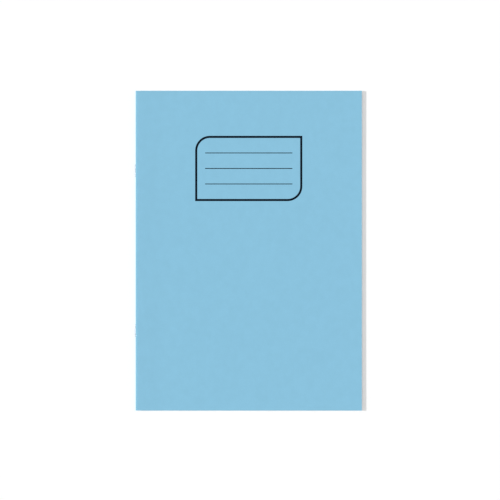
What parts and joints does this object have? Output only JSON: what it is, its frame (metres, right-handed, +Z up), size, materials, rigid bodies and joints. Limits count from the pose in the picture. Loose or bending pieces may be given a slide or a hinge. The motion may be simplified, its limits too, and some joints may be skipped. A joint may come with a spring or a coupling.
{
  "type": "stapled exercise book",
  "caption": "Exercise book of folded paper sheets stapled through the spine into a soft card cover with a printed label frame; the cover and each leaf turn about the fold.",
  "frame": {"origin": "middle of the closed book's footprint, on the underside of the back cover", "axes": "+X from the spine to the fore edge, +Y from the tail to the head, +Z up through the front cover"},
  "size_m": [0.2106, 0.297, 0.004],
  "materials": {
    "cover_card": "matt coloured card",
    "paper": "uncoated white paper",
    "staple_wire": "drawn wire",
    "ink": "printed ink"
  },
  "bodies": {
    "binding": {"back_cover": "cover_card", "cover_spine": "cover_card", "sheet_01_fold": "paper", "sheet_02_fold": "paper", "sheet_03_fold": "paper", "sheet_04_fold": "paper", "sheet_05_fold": "paper", "sheet_06_fold": "paper", "sheet_07_fold": "paper", "sheet_08_fold": "paper", "sheet_09_fold": "paper", "sheet_10_fold": "paper", "sheet_11_fold": "paper", "sheet_12_fold": "paper", "upper_staple": "staple_wire", "lower_staple": "staple_wire"},
    "leaf_24": {"leaf_24": "paper"},
    "leaf_23": {"leaf_23": "paper"},
    "leaf_22": {"leaf_22": "paper"},
    "leaf_21": {"leaf_21": "paper"},
    "leaf_20": {"leaf_20": "paper"},
    "leaf_19": {"leaf_19": "paper"},
    "leaf_18": {"leaf_18": "paper"},
    "leaf_17": {"leaf_17": "paper"},
    "leaf_16": {"leaf_16": "paper"},
    "leaf_15": {"leaf_15": "paper"},
    "leaf_14": {"leaf_14": "paper"},
    "leaf_13": {"leaf_13": "paper"},
    "leaf_12": {"leaf_12": "paper"},
    "leaf_11": {"leaf_11": "paper"},
    "leaf_10": {"leaf_10": "paper"},
    "leaf_09": {"leaf_09": "paper"},
    "leaf_08": {"leaf_08": "paper"},
    "leaf_07": {"leaf_07": "paper"},
    "leaf_06": {"leaf_06": "paper"},
    "leaf_05": {"leaf_05": "paper"},
    "leaf_04": {"leaf_04": "paper"},
    "leaf_03": {"leaf_03": "paper"},
    "leaf_02": {"leaf_02": "paper"},
    "leaf_01": {"leaf_01": "paper"},
    "front_cover": {"front_cover": "cover_card", "label_frame": "ink", "label_lines": "ink"}
  },
  "joints": [
    {"name": "leaf_24_turns", "type": "hinge", "parent": "binding", "child": "leaf_24", "pos_m": [-0.10274, 0, 0.00199], "axis": [0, -1, 0], "range_deg": [0, 179.99]},
    {"name": "leaf_23_turns", "type": "hinge", "parent": "leaf_24", "child": "leaf_23", "pos_m": [-0.10274, 0, 0.00199], "axis": [0, -1, 0], "range_deg": [0, 179.99]},
    {"name": "leaf_22_turns", "type": "hinge", "parent": "leaf_23", "child": "leaf_22", "pos_m": [-0.10274, 0, 0.00199], "axis": [0, -1, 0], "range_deg": [0, 179.99]},
    {"name": "leaf_21_turns", "type": "hinge", "parent": "leaf_22", "child": "leaf_21", "pos_m": [-0.10274, 0, 0.00199], "axis": [0, -1, 0], "range_deg": [0, 179.99]},
    {"name": "leaf_20_turns", "type": "hinge", "parent": "leaf_21", "child": "leaf_20", "pos_m": [-0.10274, 0, 0.00199], "axis": [0, -1, 0], "range_deg": [0, 179.99]},
    {"name": "leaf_19_turns", "type": "hinge", "parent": "leaf_20", "child": "leaf_19", "pos_m": [-0.10274, 0, 0.00199], "axis": [0, -1, 0], "range_deg": [0, 179.99]},
    {"name": "leaf_18_turns", "type": "hinge", "parent": "leaf_19", "child": "leaf_18", "pos_m": [-0.10274, 0, 0.00199], "axis": [0, -1, 0], "range_deg": [0, 179.99]},
    {"name": "leaf_17_turns", "type": "hinge", "parent": "leaf_18", "child": "leaf_17", "pos_m": [-0.10274, 0, 0.00199], "axis": [0, -1, 0], "range_deg": [0, 179.99]},
    {"name": "leaf_16_turns", "type": "hinge", "parent": "leaf_17", "child": "leaf_16", "pos_m": [-0.10274, 0, 0.00199], "axis": [0, -1, 0], "range_deg": [0, 179.99]},
    {"name": "leaf_15_turns", "type": "hinge", "parent": "leaf_16", "child": "leaf_15", "pos_m": [-0.10274, 0, 0.00199], "axis": [0, -1, 0], "range_deg": [0, 179.99]},
    {"name": "leaf_14_turns", "type": "hinge", "parent": "leaf_15", "child": "leaf_14", "pos_m": [-0.10274, 0, 0.00199], "axis": [0, -1, 0], "range_deg": [0, 179.99]},
    {"name": "leaf_13_turns", "type": "hinge", "parent": "leaf_14", "child": "leaf_13", "pos_m": [-0.10274, 0, 0.00199], "axis": [0, -1, 0], "range_deg": [0, 179.99]},
    {"name": "leaf_12_turns", "type": "hinge", "parent": "leaf_13", "child": "leaf_12", "pos_m": [-0.10274, 0, 0.00199], "axis": [0, -1, 0], "range_deg": [0, 179.99]},
    {"name": "leaf_11_turns", "type": "hinge", "parent": "leaf_12", "child": "leaf_11", "pos_m": [-0.10274, 0, 0.00199], "axis": [0, -1, 0], "range_deg": [0, 179.99]},
    {"name": "leaf_10_turns", "type": "hinge", "parent": "leaf_11", "child": "leaf_10", "pos_m": [-0.10274, 0, 0.00199], "axis": [0, -1, 0], "range_deg": [0, 179.99]},
    {"name": "leaf_09_turns", "type": "hinge", "parent": "leaf_10", "child": "leaf_09", "pos_m": [-0.10274, 0, 0.00199], "axis": [0, -1, 0], "range_deg": [0, 179.99]},
    {"name": "leaf_08_turns", "type": "hinge", "parent": "leaf_09", "child": "leaf_08", "pos_m": [-0.10274, 0, 0.00199], "axis": [0, -1, 0], "range_deg": [0, 179.99]},
    {"name": "leaf_07_turns", "type": "hinge", "parent": "leaf_08", "child": "leaf_07", "pos_m": [-0.10274, 0, 0.00199], "axis": [0, -1, 0], "range_deg": [0, 179.99]},
    {"name": "leaf_06_turns", "type": "hinge", "parent": "leaf_07", "child": "leaf_06", "pos_m": [-0.10274, 0, 0.00199], "axis": [0, -1, 0], "range_deg": [0, 179.99]},
    {"name": "leaf_05_turns", "type": "hinge", "parent": "leaf_06", "child": "leaf_05", "pos_m": [-0.10274, 0, 0.00199], "axis": [0, -1, 0], "range_deg": [0, 179.99]},
    {"name": "leaf_04_turns", "type": "hinge", "parent": "leaf_05", "child": "leaf_04", "pos_m": [-0.10274, 0, 0.00199], "axis": [0, -1, 0], "range_deg": [0, 179.99]},
    {"name": "leaf_03_turns", "type": "hinge", "parent": "leaf_04", "child": "leaf_03", "pos_m": [-0.10274, 0, 0.00199], "axis": [0, -1, 0], "range_deg": [0, 179.99]},
    {"name": "leaf_02_turns", "type": "hinge", "parent": "leaf_03", "child": "leaf_02", "pos_m": [-0.10274, 0, 0.00199], "axis": [0, -1, 0], "range_deg": [0, 179.99]},
    {"name": "leaf_01_turns", "type": "hinge", "parent": "leaf_02", "child": "leaf_01", "pos_m": [-0.10274, 0, 0.00199], "axis": [0, -1, 0], "range_deg": [0, 179.99]},
    {"name": "cover_opens", "type": "hinge", "parent": "leaf_01", "child": "front_cover", "pos_m": [-0.10274, 0, 0.00199], "axis": [0, -1, 0], "range_deg": [0, 179.99]}
  ]
}
